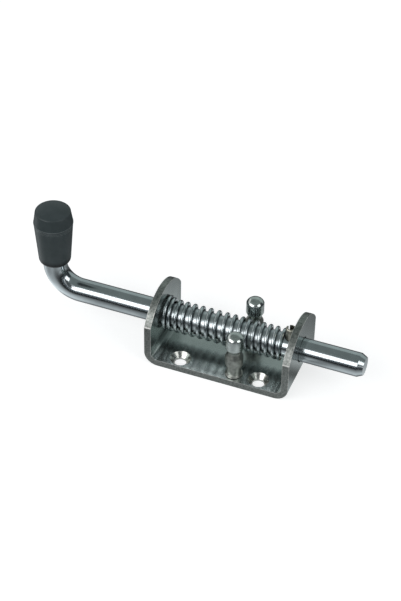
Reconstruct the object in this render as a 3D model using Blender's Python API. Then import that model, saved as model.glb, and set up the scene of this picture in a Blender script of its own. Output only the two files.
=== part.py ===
# Spring-loaded bolt: a round bar slides in a folded bracket and is pushed out by a coil spring.
# Metres, +Z up. The origin is the centre of the bracket's underside.
# +X runs along the bar towards its tip, and +Y towards the rear post.

import math

import bmesh
import bpy
from mathutils import Matrix, Vector

# Bracket, folded from sheet
PLATE_LENGTH = 0.075
PLATE_WIDTH = 0.040
PLATE_THICKNESS = 0.0035
FOLD_INSIDE_RADIUS = 0.0035
EAR_SHOULDER_RISE = 0.0049
EAR_TOP_RISE = 0.0165

# Screw holes, countersunk at 90 degrees
SCREW_END_MARGIN = 0.017
SCREW_SIDE_MARGIN = 0.006
SCREW_HOLE_DIAMETER = 0.0058
COUNTERSINK_DIAMETER = 0.0105

# Sliding bar with its bent handle arm
BAR_DIAMETER = 0.012
BAR_HOLE_CLEARANCE = 0.0005
TIP_REACH = 0.032
TIP_CHAMFER_LENGTH = 0.0028
TIP_CHAMFER_DEPTH = 0.0014
HANDLE_REACH = 0.0565
HANDLE_BEND_RADIUS = 0.014
ARM_CHAMFER = 0.0012

# Grip pushed over the handle arm
GRIP_LENGTH = 0.032
GRIP_BEND_GAP = 0.0015
GRIP_LOWER_DIAMETER = 0.0162
GRIP_WIDEST_DIAMETER = 0.0198
GRIP_UPPER_DIAMETER = 0.0179
GRIP_WIDEST_HEIGHT = 0.0238
GRIP_RING_WIDTH = 0.0007
GRIP_RING_RISE = 0.0001
GRIP_TOP_ROUNDING = 0.0008
GRIP_TOP_EDGE_TILT = math.radians(72)
GRIP_LOWER_ROUNDING = 0.0020
GRIP_ROOF = 0.005

# Roll pin through the bar
PIN_DIAMETER = 0.005
PIN_WALL = 0.0009
PIN_SLOT_WIDTH = 0.0011
PIN_SLOT_ANGLE = math.radians(140)
PIN_CHAMFER = 0.0005
PIN_PLATE_CLEARANCE = 0.002

# Coil spring
WIRE_DIAMETER = 0.0018
SPRING_BAR_CLEARANCE = 0.00045
OPEN_TURNS = 15
CLOSED_TURNS = 1
CLOSED_TURN_GAP = 0.0004
LEVEL_END_TURNS = 0.4375
COIL_DRIFT = 0.0012

# Posts that catch the pin when the bolt is drawn back and turned
POST_PLACE_X = 0.0077
POST_SIDE_MARGIN = 0.00565
POST_CATCH = 0.001
POST_SHANK_DIAMETER = 0.0070
POST_SPIGOT_DIAMETER = 0.005
POST_FOOT_DIAMETER = 0.0094
POST_FOOT_HEIGHT = 0.0007
POST_COLLAR_DIAMETER = 0.0090
POST_COLLAR_HEIGHT = 0.0048
POST_COLLAR_TAPER = 0.0025
POST_NECK_DIAMETER = 0.0067
POST_NECK_RISE = 0.0001
POST_NECK_HEIGHT = 0.0007
POST_HEAD_DIAMETER = 0.0090
POST_HEAD_TAPER = 0.0024
POST_HEAD_STRAIGHT = 0.0057
POST_HEAD_DOME = 0.0026
POST_DOME_START = math.radians(14)

# Space kept between pieces that touch
SEAT_GAP = 0.0003

# Facets
BAR_SIDES = 36
BEND_STEPS = 14
GRIP_SIDES = 36
POST_SIDES = 24
HOLE_SIDES = 32
FOLD_STEPS = 8
ARCH_STEPS = 24
PIN_SIDES = 28
TURN_STEPS = 16
WIRE_RESOLUTION = 2
ROUNDING_STEPS = 5

# Cutters run past the faces they cut by this much
CUT_MARGIN = 0.001

# Points closer than this are one point
MERGE_DISTANCE = 1e-7

# Edges sharper than this many degrees are shown sharp
SHARP_ANGLE = 35
GRIP_SHARP_ANGLE = 50

# Sizes that follow from the ones above
bar_radius = BAR_DIAMETER / 2
ear_outer_x = PLATE_LENGTH / 2
ear_inner_x = ear_outer_x - PLATE_THICKNESS
screw_x = ear_outer_x - SCREW_END_MARGIN
screw_y = PLATE_WIDTH / 2 - SCREW_SIDE_MARGIN
post_y = PLATE_WIDTH / 2 - POST_SIDE_MARGIN
pin_half_length = post_y - POST_NECK_DIAMETER / 2 + POST_CATCH
bar_height = PLATE_THICKNESS + PIN_PLATE_CLEARANCE + pin_half_length
ear_shoulder_z = bar_height + EAR_SHOULDER_RISE
ear_top_z = bar_height + EAR_TOP_RISE
tip_x = ear_outer_x + TIP_REACH
handle_x = -ear_outer_x - HANDLE_REACH
pin_radius = PIN_DIAMETER / 2
pin_x = ear_inner_x - SEAT_GAP - pin_radius
grip_bottom = bar_height + HANDLE_BEND_RADIUS + GRIP_BEND_GAP
coil_radius = bar_radius + SPRING_BAR_CLEARANCE + WIRE_DIAMETER / 2
spring_start_x = -ear_inner_x + SEAT_GAP + WIRE_DIAMETER / 2
spring_end_x = pin_x - pin_radius - SEAT_GAP - WIRE_DIAMETER / 2


def clear_scene():
    for item in list(bpy.data.objects):
        bpy.data.objects.remove(item, do_unlink=True)


def make_material(name, colour, metallic, roughness):
    material = bpy.data.materials.new(name)
    material.use_nodes = True
    shader = material.node_tree.nodes["Principled BSDF"]
    shader.inputs["Base Color"].default_value = (*colour, 1.0)
    shader.inputs["Metallic"].default_value = metallic
    shader.inputs["Roughness"].default_value = roughness
    return material


def link_object(name, data, material=None):
    made = bpy.data.objects.new(name, data)
    bpy.context.scene.collection.objects.link(made)
    if material is not None:
        data.materials.append(material)
    return made


def mesh_object(name, shape, material=None, sharp_angle=SHARP_ANGLE):
    bmesh.ops.remove_doubles(shape, verts=shape.verts, dist=MERGE_DISTANCE)
    bmesh.ops.recalc_face_normals(shape, faces=shape.faces)
    mesh = bpy.data.meshes.new(name)
    shape.to_mesh(mesh)
    shape.free()
    mesh.shade_smooth()
    mesh.set_sharp_from_angle(angle=math.radians(sharp_angle))
    return link_object(name, mesh, material)


def arc(centre, radius, start, end, steps):
    """Points on an arc in a plane, with angles in degrees."""
    points = []
    for step in range(steps + 1):
        angle = math.radians(start + (end - start) * step / steps)
        points.append((centre[0] + radius * math.cos(angle), centre[1] + radius * math.sin(angle)))
    return points


def extruded(outline, direction, length):
    """A closed outline of 3-D points pushed along a direction."""
    shape = bmesh.new()
    face = shape.faces.new([shape.verts.new(point) for point in outline])
    pushed = bmesh.ops.extrude_face_region(shape, geom=[face])["geom"]
    moved = [item for item in pushed if isinstance(item, bmesh.types.BMVert)]
    bmesh.ops.translate(shape, verts=moved, vec=Vector(direction) * length)
    return shape


def turned(profile, sides):
    """A profile of (radius, height) points, both ends on the axis, spun about Z."""
    shape = bmesh.new()
    verts = [shape.verts.new((radius, 0, height)) for radius, height in profile]
    edges = [shape.edges.new(pair) for pair in zip(verts, verts[1:])]
    bmesh.ops.spin(shape, geom=verts + edges, cent=(0, 0, 0), axis=(0, 0, 1),
                   angle=math.tau, steps=sides, use_duplicate=False)
    return shape


def cylinder(radius, length, sides):
    """A cylinder about Z, centred on the origin."""
    half = length / 2
    return turned([(0, -half), (radius, -half), (radius, half), (0, half)], sides)


def cut(target, cutter, operation="DIFFERENCE"):
    cutter.hide_render = True
    cutter.display_type = "WIRE"
    modifier = target.modifiers.new(cutter.name, "BOOLEAN")
    modifier.operation = operation
    modifier.solver = "EXACT"
    modifier.object = cutter


def along_x(made, x, y, z):
    """Place an object that was made along Z so that it runs along X."""
    made.matrix_world = Matrix.Translation((x, y, z)) @ Matrix.Rotation(math.pi / 2, 4, "Y")


def make_bracket(material):
    bracket = mesh_object("bracket", extruded(bracket_section(), (0, 1, 0), PLATE_WIDTH), material)
    cut(bracket, mesh_object("ear_outline", ear_prism()), "INTERSECT")

    bar_hole = mesh_object("bar_hole", cylinder(bar_radius + BAR_HOLE_CLEARANCE,
                                                PLATE_LENGTH + 2 * CUT_MARGIN, HOLE_SIDES))
    along_x(bar_hole, 0, 0, bar_height)
    cut(bracket, bar_hole)

    for side_x in (-1, 1):
        for side_y in (-1, 1):
            hole = mesh_object("screw_hole", turned(screw_hole_profile(), HOLE_SIDES))
            hole.location = (side_x * screw_x, side_y * screw_y, 0)
            cut(bracket, hole)

    spigot_hole_radius = POST_SPIGOT_DIAMETER / 2 + SEAT_GAP
    plate_cut_length = 2 * (PLATE_THICKNESS + CUT_MARGIN)
    for side_y in (-1, 1):
        hole = mesh_object("post_hole", cylinder(spigot_hole_radius, plate_cut_length, HOLE_SIDES))
        hole.location = (POST_PLACE_X, side_y * post_y, 0)
        cut(bracket, hole)
    return bracket


def bracket_section():
    """The folded strip seen from the front, with square ear tops that are trimmed later."""
    front = -PLATE_WIDTH / 2
    outside = FOLD_INSIDE_RADIUS + PLATE_THICKNESS
    fold_x = ear_outer_x - outside
    top = ear_top_z + CUT_MARGIN
    points = [(-ear_outer_x, top)]
    points += arc((-fold_x, outside), outside, 180, 270, FOLD_STEPS)
    points += arc((fold_x, outside), outside, 270, 360, FOLD_STEPS)
    points += [(ear_outer_x, top), (ear_inner_x, top)]
    points += arc((fold_x, outside), FOLD_INSIDE_RADIUS, 360, 270, FOLD_STEPS)
    points += arc((-fold_x, outside), FOLD_INSIDE_RADIUS, 270, 180, FOLD_STEPS)
    points += [(-ear_inner_x, top)]
    return [(x, front, z) for x, z in points]


def ear_prism():
    """The ears' outline seen along the bar: straight sides, then one arc over the top."""
    half_width = PLATE_WIDTH / 2
    rise = ear_top_z - ear_shoulder_z
    radius = (half_width ** 2 + rise ** 2) / (2 * rise)
    centre_z = ear_top_z - radius
    shoulder = math.degrees(math.atan2(ear_shoulder_z - centre_z, half_width))
    points = [(-half_width - CUT_MARGIN, -CUT_MARGIN), (half_width + CUT_MARGIN, -CUT_MARGIN)]
    points += [(half_width + CUT_MARGIN, ear_shoulder_z)]
    points += arc((0, centre_z), radius, shoulder, 180 - shoulder, ARCH_STEPS)
    points += [(-half_width - CUT_MARGIN, ear_shoulder_z)]
    start_x = -ear_outer_x - CUT_MARGIN
    return extruded([(start_x, y, z) for y, z in points], (1, 0, 0), PLATE_LENGTH + 2 * CUT_MARGIN)


def screw_hole_profile():
    hole = SCREW_HOLE_DIAMETER / 2
    mouth = COUNTERSINK_DIAMETER / 2
    cone_bottom = PLATE_THICKNESS - (mouth - hole)
    top = PLATE_THICKNESS + CUT_MARGIN
    return [(0, -CUT_MARGIN), (hole, -CUT_MARGIN), (hole, cone_bottom),
            (mouth + CUT_MARGIN, top), (0, top)]


def make_bolt_rod(material):
    """The bar from its chamfered tip to the bend, round the bend and up into the grip."""
    shape = bmesh.new()
    facing_tip = Matrix.Translation((tip_x, 0, bar_height)) @ Matrix.Rotation(math.pi / 2, 4, "Y")
    tip = bmesh.ops.create_circle(shape, cap_ends=True, segments=BAR_SIDES,
                                  radius=bar_radius - TIP_CHAMFER_DEPTH, matrix=facing_tip)
    ring = list({edge for vert in tip["verts"] for edge in vert.link_edges})

    ring = extend_ring(shape, ring, (-TIP_CHAMFER_LENGTH, 0, 0))
    widen = bar_radius / (bar_radius - TIP_CHAMFER_DEPTH)
    centre = Vector((tip_x - TIP_CHAMFER_LENGTH, 0, bar_height))
    bmesh.ops.scale(shape, vec=(1, widen, widen), space=Matrix.Translation(-centre),
                    verts=ring_verts(ring))

    bend_x = handle_x + HANDLE_BEND_RADIUS
    ring = extend_ring(shape, ring, (bend_x - centre.x, 0, 0))
    bent = bmesh.ops.spin(shape, geom=ring + ring_verts(ring), axis=(0, 1, 0), steps=BEND_STEPS,
                          cent=(bend_x, 0, bar_height + HANDLE_BEND_RADIUS), angle=math.pi / 2,
                          use_duplicate=False)
    ring = [item for item in bent["geom_last"] if isinstance(item, bmesh.types.BMEdge)]

    arm_top = grip_bottom + GRIP_LENGTH - GRIP_ROOF - SEAT_GAP
    arm_length = arm_top - ARM_CHAMFER - bar_height - HANDLE_BEND_RADIUS
    ring = extend_ring(shape, ring, (0, 0, arm_length))
    ring = extend_ring(shape, ring, (0, 0, ARM_CHAMFER))
    narrow = (bar_radius - ARM_CHAMFER) / bar_radius
    bmesh.ops.scale(shape, vec=(narrow, narrow, 1), space=Matrix.Translation((-handle_x, 0, -arm_top)),
                    verts=ring_verts(ring))
    bmesh.ops.contextual_create(shape, geom=ring)

    rod = mesh_object("bolt_rod", shape, material)
    pin_hole = mesh_object("pin_hole", cylinder(pin_radius + SEAT_GAP, 2 * BAR_DIAMETER, PIN_SIDES))
    pin_hole.location = (pin_x, 0, bar_height)
    cut(rod, pin_hole)
    return rod


def extend_ring(shape, ring, offset):
    """Extrude a ring of edges and move it, and return the new ring."""
    pushed = bmesh.ops.extrude_edge_only(shape, edges=ring)["geom"]
    verts = [item for item in pushed if isinstance(item, bmesh.types.BMVert)]
    bmesh.ops.translate(shape, verts=verts, vec=offset)
    new_verts = set(verts)
    return [item for item in pushed
            if isinstance(item, bmesh.types.BMEdge) and set(item.verts) <= new_verts]


def ring_verts(ring):
    return list({vert for edge in ring for vert in edge.verts})


def make_grip(material):
    """A moulded cap: a long taper, a fine ring at its widest place, a low dome and a blind bore."""
    lower = GRIP_LOWER_DIAMETER / 2
    widest = GRIP_WIDEST_DIAMETER / 2
    upper = GRIP_UPPER_DIAMETER / 2
    bore = bar_radius + SEAT_GAP
    roof_inside = GRIP_LENGTH - GRIP_ROOF
    ring_low = GRIP_WIDEST_HEIGHT - GRIP_RING_WIDTH / 2
    ring_high = GRIP_WIDEST_HEIGHT + GRIP_RING_WIDTH / 2

    profile = [(0, roof_inside), (bore, roof_inside), (bore, 0)]
    profile += arc((lower - GRIP_LOWER_ROUNDING, GRIP_LOWER_ROUNDING), GRIP_LOWER_ROUNDING,
                   -90, 0, ROUNDING_STEPS)
    profile += [(widest - GRIP_RING_RISE, ring_low), (widest, ring_low), (widest, ring_high),
                (widest - GRIP_RING_RISE, ring_high)]
    profile += grip_top(upper)
    grip = mesh_object("grip", turned(profile, GRIP_SIDES), material, sharp_angle=GRIP_SHARP_ANGLE)
    grip.location = (handle_x, 0, grip_bottom)
    return grip


def grip_top(upper):
    """A small rounding at the rim that runs on into a low dome, up to the axis."""
    rim_tilt = math.degrees(GRIP_TOP_EDGE_TILT)
    rim_radius = upper - GRIP_TOP_ROUNDING * (1 - math.cos(GRIP_TOP_EDGE_TILT))
    dome_radius = rim_radius / math.cos(GRIP_TOP_EDGE_TILT)
    dome_centre = GRIP_LENGTH - dome_radius
    rim_height = dome_centre + dome_radius * math.sin(GRIP_TOP_EDGE_TILT)
    side_top = rim_height - GRIP_TOP_ROUNDING * math.sin(GRIP_TOP_EDGE_TILT)
    points = arc((upper - GRIP_TOP_ROUNDING, side_top), GRIP_TOP_ROUNDING, 0, rim_tilt, ROUNDING_STEPS)
    points += arc((0, dome_centre), dome_radius, rim_tilt, 90, ROUNDING_STEPS)[1:-1]
    return points + [(0, GRIP_LENGTH)]


def make_roll_pin(material):
    """Sheet rolled into a slotted tube, chamfered at both ends, standing through the bar."""
    levels = [(-pin_half_length, pin_radius - PIN_CHAMFER), (-pin_half_length + PIN_CHAMFER, pin_radius),
              (pin_half_length - PIN_CHAMFER, pin_radius), (pin_half_length, pin_radius - PIN_CHAMFER)]
    shape = bmesh.new()
    rings = []
    for height, outer in levels:
        section = slotted_section(outer, pin_radius - PIN_WALL)
        rings.append([shape.verts.new((x, y, height)) for x, y in section])
    count = len(rings[0])
    for below, above in zip(rings, rings[1:]):
        for i in range(count):
            j = (i + 1) % count
            shape.faces.new((below[i], below[j], above[j], above[i]))
    shape.faces.new(rings[0])
    shape.faces.new(rings[-1])
    pin = mesh_object("roll_pin", shape, material)
    pin.location = (pin_x, 0, bar_height)
    pin.rotation_euler = (0, 0, PIN_SLOT_ANGLE)
    return pin


def slotted_section(outer, inner):
    """A ring with a slot on its +X side."""
    outer_gap = math.degrees(math.asin(PIN_SLOT_WIDTH / 2 / outer))
    inner_gap = math.degrees(math.asin(PIN_SLOT_WIDTH / 2 / inner))
    points = arc((0, 0), outer, outer_gap, 360 - outer_gap, PIN_SIDES)
    points += arc((0, 0), inner, 360 - inner_gap, inner_gap, PIN_SIDES)
    return points


def make_spring(material):
    """Wire wound round the bar, closed against the handle-side ear and open at the pin."""
    curve = bpy.data.curves.new("spring", "CURVE")
    curve.dimensions = "3D"
    curve.bevel_depth = WIRE_DIAMETER / 2
    curve.bevel_resolution = WIRE_RESOLUTION
    curve.use_fill_caps = True
    spline = curve.splines.new("POLY")
    points = spring_path()
    spline.points.add(len(points) - 1)
    for point, place in zip(spline.points, points):
        point.co = (*place, 1)
    return link_object("spring", curve, material)


def spring_path():
    """Points along the wire's centre line, right-handed. Past its last top the wire runs level,
    down the front of the pin, and a drift makes the turns wider apart towards the middle."""
    closed_pitch = WIRE_DIAMETER + CLOSED_TURN_GAP
    closed_length = CLOSED_TURNS * closed_pitch
    open_length = spring_end_x - spring_start_x - closed_length
    total_turns = CLOSED_TURNS + OPEN_TURNS
    points = []
    for step in range(round((total_turns + LEVEL_END_TURNS) * TURN_STEPS) + 1):
        turn = step / TURN_STEPS
        if turn <= CLOSED_TURNS:
            along = turn * closed_pitch
        else:
            share = min(1, (turn - CLOSED_TURNS) / OPEN_TURNS)
            wave = math.sin(math.pi * share) ** 2 - (1 - share) * math.sin(math.tau * share)
            along = closed_length + open_length * share + COIL_DRIFT * wave
        angle = math.tau * (turn - total_turns)
        y = -coil_radius * math.sin(angle)
        z = bar_height + coil_radius * math.cos(angle)
        points.append((spring_start_x + along, y, z))
    return points


def make_post(name, side, material):
    post = mesh_object(name, turned(post_profile(), POST_SIDES), material)
    post.location = (POST_PLACE_X, side * post_y, 0)
    return post


def post_profile():
    """Spigot in the plate, foot ring, shank, collar, short neck between two tapers, head and dome."""
    spigot = POST_SPIGOT_DIAMETER / 2
    foot = POST_FOOT_DIAMETER / 2
    shank = POST_SHANK_DIAMETER / 2
    collar = POST_COLLAR_DIAMETER / 2
    neck = POST_NECK_DIAMETER / 2
    head = POST_HEAD_DIAMETER / 2
    seat = PLATE_THICKNESS + SEAT_GAP
    foot_top = seat + POST_FOOT_HEIGHT
    neck_low = bar_height + POST_NECK_RISE
    neck_high = neck_low + POST_NECK_HEIGHT
    head_low = neck_high + POST_HEAD_TAPER
    head_high = head_low + POST_HEAD_STRAIGHT
    collar_top = neck_low - POST_COLLAR_TAPER
    collar_bottom = collar_top - POST_COLLAR_HEIGHT

    profile = [(0, SEAT_GAP), (spigot, SEAT_GAP), (spigot, seat), (foot, seat), (shank, foot_top)]
    profile += [(shank, collar_bottom - (collar - shank)), (collar, collar_bottom), (collar, collar_top)]
    profile += [(neck, neck_low), (neck, neck_high), (head, head_low)]
    return profile + dome_points(head, head_high)


def dome_points(radius, height):
    """A flattened dome that meets the side below it with a slight crease."""
    start_cos = math.cos(POST_DOME_START)
    start_sin = math.sin(POST_DOME_START)
    points = []
    for step in range(ROUNDING_STEPS):
        angle = POST_DOME_START + (math.pi / 2 - POST_DOME_START) * step / ROUNDING_STEPS
        rise = (math.sin(angle) - start_sin) / (1 - start_sin)
        points.append((radius * math.cos(angle) / start_cos, height + POST_HEAD_DOME * rise))
    return points + [(0, height + POST_HEAD_DOME)]


def main():
    clear_scene()
    zinc_sheet = make_material("zinc_sheet", (0.36, 0.38, 0.37), 1.0, 0.42)
    zinc_bar = make_material("zinc_bar", (0.62, 0.66, 0.67), 1.0, 0.2)
    spring_steel = make_material("spring_steel", (0.40, 0.45, 0.46), 1.0, 0.25)
    pin_steel = make_material("pin_steel", (0.30, 0.28, 0.25), 1.0, 0.45)
    post_steel = make_material("post_steel", (0.36, 0.38, 0.37), 1.0, 0.35)
    grip_plastic = make_material("grip_plastic", (0.045, 0.055, 0.055), 0.0, 0.55)

    make_bracket(zinc_sheet)
    make_post("front_post", -1, post_steel)
    make_post("rear_post", 1, post_steel)
    make_bolt_rod(zinc_bar)
    make_roll_pin(pin_steel)
    make_spring(spring_steel)
    make_grip(grip_plastic)


main()
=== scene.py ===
import math

import bmesh
import bpy
from mathutils import Matrix, Vector


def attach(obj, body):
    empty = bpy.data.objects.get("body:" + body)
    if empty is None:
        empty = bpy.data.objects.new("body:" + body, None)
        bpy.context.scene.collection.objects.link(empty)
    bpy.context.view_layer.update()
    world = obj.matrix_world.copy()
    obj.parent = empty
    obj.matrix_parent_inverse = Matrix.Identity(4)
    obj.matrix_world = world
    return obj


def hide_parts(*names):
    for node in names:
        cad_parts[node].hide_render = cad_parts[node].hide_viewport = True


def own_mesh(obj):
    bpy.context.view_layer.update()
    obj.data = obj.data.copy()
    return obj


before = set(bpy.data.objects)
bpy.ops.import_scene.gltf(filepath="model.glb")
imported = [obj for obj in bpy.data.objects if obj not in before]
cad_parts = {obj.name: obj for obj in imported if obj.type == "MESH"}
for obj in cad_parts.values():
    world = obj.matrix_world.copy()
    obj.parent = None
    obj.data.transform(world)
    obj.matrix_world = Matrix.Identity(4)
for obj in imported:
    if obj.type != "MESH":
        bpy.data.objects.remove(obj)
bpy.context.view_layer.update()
print("frame loaded:", sorted(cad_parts))

mm = 0.001

# sizes that several pieces share, the same as in the CAD model
barRadius = 6 * mm
barHeight = 17.5 * mm
seatGap = 0.3 * mm
plateThickness = 3.5 * mm
pinX = 31.2 * mm
pinRadius = 2.5 * mm
handleX = -94 * mm
earInnerX = 34 * mm
hair = 0.1 * mm  # a little past a face


# modelling helpers

def clearSelection():
    if bpy.context.object and bpy.context.object.mode != "OBJECT":
        bpy.ops.object.mode_set(mode="OBJECT")
    bpy.ops.object.select_all(action="DESELECT")


def makeActive(piece):
    clearSelection()
    piece.select_set(True)
    bpy.context.view_layer.objects.active = piece


def openForEdit(piece, pick="VERT"):
    makeActive(piece)
    bpy.ops.object.mode_set(mode="EDIT")
    bpy.ops.mesh.select_mode(type=pick)


def closeEdit(piece):
    bpy.ops.object.mode_set(mode="OBJECT")
    makeActive(piece)
    bpy.ops.object.transform_apply(location=True, rotation=True, scale=True)


def startPoint(name, place):
    # a plane merged to one point, from which a line is drawn
    clearSelection()
    bpy.ops.mesh.primitive_plane_add(size=mm, location=place)
    piece = bpy.context.object
    piece.name = piece.data.name = name
    openForEdit(piece)
    bpy.ops.mesh.select_all(action="SELECT")
    bpy.ops.mesh.merge(type="CENTER")
    bpy.ops.mesh.select_all(action="SELECT")
    return piece


def pushBy(x=0.0, y=0.0, z=0.0):
    bpy.ops.mesh.extrude_region_move(TRANSFORM_OT_translate={"value": (x, y, z)})


def drawLine(name, points):
    piece = startPoint(name, points[0])
    for before, after in zip(points, points[1:]):
        pushBy(*(Vector(after) - Vector(before)))
    return piece


def swing(centre, axis, angle, steps):
    bpy.ops.mesh.spin(steps=steps, angle=-angle, center=centre, axis=axis)  # the operator turns the other way


def tidyShell():
    bpy.ops.mesh.select_all(action="SELECT")
    bpy.ops.mesh.remove_doubles(threshold=0.002 * mm)
    bpy.ops.mesh.normals_make_consistent(inside=False)


def turnPiece(name, profile, centre, sides):
    # profile is a list of (radius, height) that is spun round a line along Z
    points = [(centre[0] + radius, centre[1], centre[2] + height) for radius, height in profile]
    piece = drawLine(name, points)
    bpy.ops.mesh.select_all(action="SELECT")
    swing(centre, (0, 0, 1), math.tau, sides)
    tidyShell()
    closeEdit(piece)
    return piece


def arcPoints(centre, radius, startAngle, endAngle, steps):
    sweep = endAngle - startAngle
    angles = [math.radians(startAngle + sweep * step / steps) for step in range(steps + 1)]
    return [(centre[0] + radius * math.cos(a), centre[1] + radius * math.sin(a)) for a in angles]


def applyModifier(piece, kind, **settings):
    makeActive(piece)
    modifier = piece.modifiers.new(kind.lower(), kind)
    for name, value in settings.items():
        setattr(modifier, name, value)
    bpy.ops.object.modifier_apply(modifier=modifier.name)


def cutWith(piece, cutter, operation="DIFFERENCE"):
    applyModifier(piece, "BOOLEAN", operation=operation, solver="EXACT", object=cutter)
    bpy.data.objects.remove(cutter)


def softenEdges(piece, width, steps=2, angle=40):
    applyModifier(piece, "BEVEL", width=width, segments=steps, limit_method="ANGLE",
                  angle_limit=math.radians(angle), use_clamp_overlap=True)


def smoothFaces(piece, angle=38):
    makeActive(piece)
    bpy.ops.object.shade_smooth_by_angle(angle=math.radians(angle))
    applyModifier(piece, "WEIGHTED_NORMAL", keep_sharp=True, weight=70)


def handOver(piece, node, body, finishNames):
    for name in finishNames:
        piece.data.materials.append(materials[name])
    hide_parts(node)
    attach(piece, body)
    print("made", piece.name, "for", node, len(piece.data.polygons), "faces")


def towards(azimuth, elevation, distance=1):
    a, e = math.radians(azimuth), math.radians(elevation)
    return distance * Vector((math.sin(a) * math.cos(e), -math.cos(a) * math.cos(e), math.sin(e)))


# material helpers

def newMaterial(name):
    material = bpy.data.materials.new(name)
    material.use_nodes = True
    material.node_tree.nodes.clear()
    return material, material.node_tree


def addNode(tree, kind, values=None, **settings):
    node = tree.nodes.new(kind)
    for name, value in settings.items():
        setattr(node, name, value)
    for name, value in (values or {}).items():
        if isinstance(value, bpy.types.NodeSocket):
            tree.links.new(value, node.inputs[name])
        else:
            node.inputs[name].default_value = value
    return node


def connectOutput(tree, shader, kind="ShaderNodeOutputMaterial"):
    tree.links.new(shader.outputs[0], addNode(tree, kind).inputs[0])


def calculate(tree, operation, first, second=0.0, clamp=False):
    node = addNode(tree, "ShaderNodeMath", {0: first, 1: second}, operation=operation, use_clamp=clamp)
    return node.outputs[0]


def times(tree, first, *others):
    for other in others:
        first = calculate(tree, "MULTIPLY", first, other)
    return first


def add(tree, first, second, clamp=False):
    return calculate(tree, "ADD", first, second, clamp)


def positive(tree, value):
    return calculate(tree, "MAXIMUM", value, 0.0)


def absolute(tree, value):
    return calculate(tree, "ABSOLUTE", value)


def ramp(tree, value, start, end, low=0.0, high=1.0, smooth=False):
    node = addNode(tree, "ShaderNodeMapRange", {
        "Value": value, "From Min": start, "From Max": end, "To Min": low, "To Max": high},
        clamp=True, interpolation_type="SMOOTHSTEP" if smooth else "LINEAR")
    return node.outputs[0]


def splitVector(tree, vector):
    return addNode(tree, "ShaderNodeSeparateXYZ", {0: vector}).outputs


def mixColours(tree, factor, first, second):
    # plain colours have three numbers, and the node's sockets take four
    first, second = (colour if isinstance(colour, bpy.types.NodeSocket) else opaque(colour)
                     for colour in (first, second))
    return addNode(tree, "ShaderNodeMix", {0: factor, 6: first, 7: second}, data_type="RGBA").outputs[2]


def opaque(colour):
    return (*colour, 1.0)


def distanceTo(tree, across, along):
    sides = addNode(tree, "ShaderNodeCombineXYZ", {"X": across, "Y": along})
    return addNode(tree, "ShaderNodeVectorMath", {0: sides.outputs[0]}, operation="LENGTH").outputs["Value"]


def newGroup(name, output, **inputs):
    # an input is a number or a vector, and None stands for a vector with no value of its own
    group = bpy.data.node_groups.new(name, "ShaderNodeTree")
    for socketName, value in inputs.items():
        kind = "NodeSocketFloat" if isinstance(value, float) else "NodeSocketVector"
        socket = group.interface.new_socket(socketName, in_out="INPUT", socket_type=kind)
        if value is not None:
            socket.default_value = value
    group.interface.new_socket(output, in_out="OUTPUT", socket_type="NodeSocketFloat")
    return group, addNode(group, "NodeGroupInput").outputs, addNode(group, "NodeGroupOutput")


def cloudGroup():
    # soft patches of uneven plating or moulding
    group, given, result = newGroup("unevenPatches", "Mask", Vector=None, Scale=120.0, Low=0.35, High=0.65)
    noise = addNode(group, "ShaderNodeTexNoise", {
        "Vector": given["Vector"], "Scale": given["Scale"], "Detail": 5.0, "Roughness": 0.6})
    spread = ramp(group, noise.outputs[0], given["Low"], given["High"])
    group.links.new(spread, result.inputs["Mask"])
    return group


def grainGroup():
    # fine lines left by rolling, drawing or turning; Stretch sets their length on each axis
    group, given, result = newGroup("workedGrain", "Lines", Vector=None, Stretch=(1.0, 1.0, 1.0), Contrast=1.6)
    pulled = addNode(group, "ShaderNodeVectorMath", {
        0: given["Vector"], 1: given["Stretch"]}, operation="MULTIPLY")
    noise = addNode(group, "ShaderNodeTexNoise", {
        "Vector": pulled.outputs[0], "Scale": 1.0, "Detail": 4.0, "Roughness": 0.65})
    centred = calculate(group, "SUBTRACT", noise.outputs[0], 0.5)
    raised = times(group, centred, given["Contrast"])
    group.links.new(add(group, raised, 0.5, clamp=True), result.inputs["Lines"])
    return group


def wearGroup():
    # bright or pale worn edges: the bevelled normal differs from the surface's own there
    group, given, result = newGroup("edgeWear", "Mask", Vector=None, Radius=0.4 * mm, Strength=4.0,
                                    Breakup=900.0, Low=0.35, High=0.6)
    rounded = addNode(group, "ShaderNodeBevel", {"Radius": given["Radius"]}, samples=4)
    flat = addNode(group, "ShaderNodeNewGeometry")
    same = addNode(group, "ShaderNodeVectorMath", {
        0: rounded.outputs[0], 1: flat.outputs["Normal"]}, operation="DOT_PRODUCT")
    differs = calculate(group, "SUBTRACT", 1.0, same.outputs["Value"])
    strong = calculate(group, "MULTIPLY", differs, given["Strength"], clamp=True)
    noise = addNode(group, "ShaderNodeTexNoise", {
        "Vector": given["Vector"], "Scale": given["Breakup"], "Detail": 3.0})
    patchy = ramp(group, noise.outputs[0], given["Low"], given["High"])
    group.links.new(times(group, strong, patchy), result.inputs["Mask"])
    return group


def ringGroup():
    # faint rings round the bar on the ears, where the bar's hole was pressed and the spring rubs
    group, given, result = newGroup("rubbedRings", "Rings", Vector=None, Spacing=mm, Start=7 * mm,
                                    Reach=15 * mm, EarStart=33 * mm)
    parts = splitVector(group, given["Vector"])
    away = distanceTo(group, parts["Y"], calculate(group, "SUBTRACT", parts["Z"], barHeight))
    turns = calculate(group, "DIVIDE", away, given["Spacing"])
    noise = addNode(group, "ShaderNodeTexNoise", {
        "W": turns, "Scale": 1.0, "Detail": 2.0}, noise_dimensions="1D")
    onEar = calculate(group, "GREATER_THAN", absolute(group, parts["X"]), given["EarStart"])
    fade = ramp(group, away, given["Start"], given["Reach"], 1.0, 0.0)
    offset = calculate(group, "SUBTRACT", noise.outputs[0], 0.5)
    group.links.new(times(group, offset, times(group, onEar, fade)), result.inputs["Rings"])
    return group


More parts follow.
